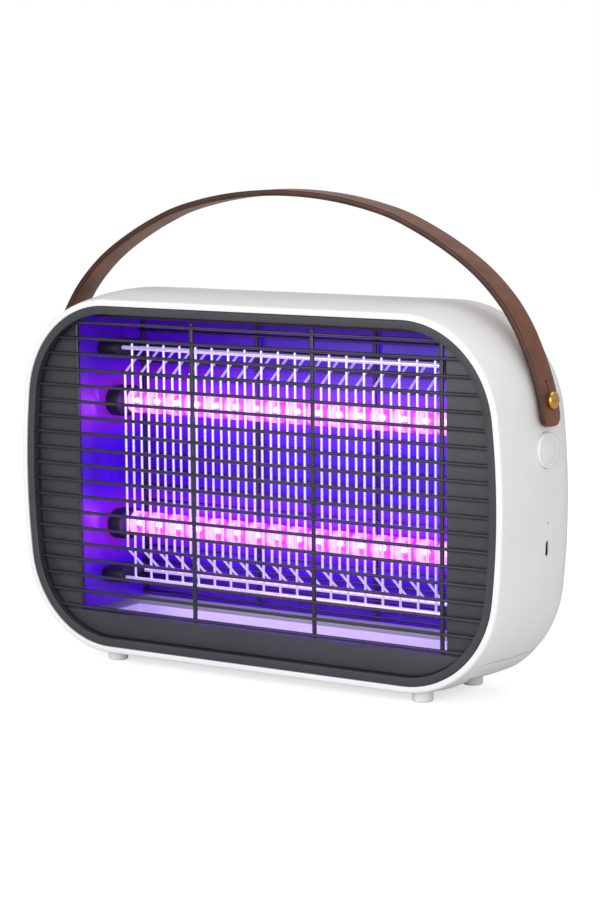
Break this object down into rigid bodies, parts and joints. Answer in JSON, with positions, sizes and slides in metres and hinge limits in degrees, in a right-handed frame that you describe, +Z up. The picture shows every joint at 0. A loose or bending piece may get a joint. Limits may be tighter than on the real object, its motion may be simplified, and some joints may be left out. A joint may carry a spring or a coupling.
{
  "type": "electric bug zapper",
  "caption": "Portable bug zapper: rounded housing with a guarded wire grid and LED tubes in front, slide-out catch tray, leather carry strap on two studs.",
  "frame": {"origin": "on the surface it stands on, under the middle of the housing", "axes": "+X towards the end with the button and the tray's door, -Y the guarded front, +Z up"},
  "size_m": [0.3884, 0.094, 0.307],
  "materials": {
    "white_abs": "moulded, satin gloss",
    "dark_abs": "moulded, fine matt",
    "black_nylon": "moulded, matt",
    "violet_panel": "smooth reflector, lit violet",
    "bright_steel": "bright plated",
    "clear_tube": "clear, lit violet",
    "circuit_board": "green solder mask",
    "led_strip": "white solder mask, lit violet",
    "brass": "polished",
    "leather": "smooth brown strap leather with darker edges",
    "cell_wrap": "shrink wrap",
    "soft_rubber": "soft, matt"
  },
  "bodies": {
    "housing": {"housing_shell": "white_abs", "rear_cover": "white_abs", "front_bezel": "dark_abs", "front_guard": "dark_abs", "rear_guard": "dark_abs", "left_partition": "violet_panel", "right_partition": "violet_panel", "chamber_ceiling": "dark_abs", "reflector_panel": "violet_panel", "earth_grid": "bright_steel", "live_grid": "bright_steel", "charging_socket": "bright_steel", "led_tube_lower": "clear_tube", "led_tube_upper": "clear_tube", "light_pipe": "clear_tube", "led_board_lower": "led_strip", "led_board_upper": "led_strip", "main_board": "circuit_board", "push_switch": "black_nylon", "voltage_module": "black_nylon", "battery_holder": "black_nylon", "tray_runner_front": "black_nylon", "tray_runner_rear": "black_nylon", "battery_cell_front": "cell_wrap", "battery_cell_rear": "cell_wrap", "cover_screw_1": "bright_steel", "cover_screw_2": "bright_steel", "cover_screw_3": "bright_steel", "cover_screw_4": "bright_steel", "grid_insulator_lower_left": "black_nylon", "tube_socket_lower_left": "black_nylon", "grid_insulator_lower_right": "black_nylon", "tube_socket_lower_right": "black_nylon", "grid_insulator_upper_left": "black_nylon", "tube_socket_upper_left": "black_nylon", "grid_insulator_upper_right": "black_nylon", "tube_socket_upper_right": "black_nylon", "strap_stud_left": "brass", "stud_spacer_left": "brass", "stud_nut_left": "brass", "strap_stud_right": "brass", "stud_spacer_right": "brass", "stud_nut_right": "brass", "foot_front_left": "soft_rubber", "foot_front_right": "soft_rubber", "foot_rear_left": "soft_rubber", "foot_rear_right": "soft_rubber"},
    "handle": {"carry_strap": "leather"},
    "button": {"power_button": "white_abs"},
    "tray": {"catch_tray": "white_abs", "tray_door": "white_abs"}
  },
  "joints": [
    {"name": "handle_tilt", "type": "hinge", "parent": "housing", "child": "handle", "pos_m": [0, -0.0015, 0.185], "axis": [1, 0, 0], "range_deg": [-25, 25]},
    {"name": "button_press", "type": "slide", "parent": "housing", "child": "button", "axis": [-1, 0, 0], "range_m": [0, 0.0012], "stiffness_N_per_m": 1500},
    {"name": "tray_slide", "type": "slide", "parent": "housing", "child": "tray", "axis": [1, 0, 0], "range_m": [0, 0.285]}
  ]
}
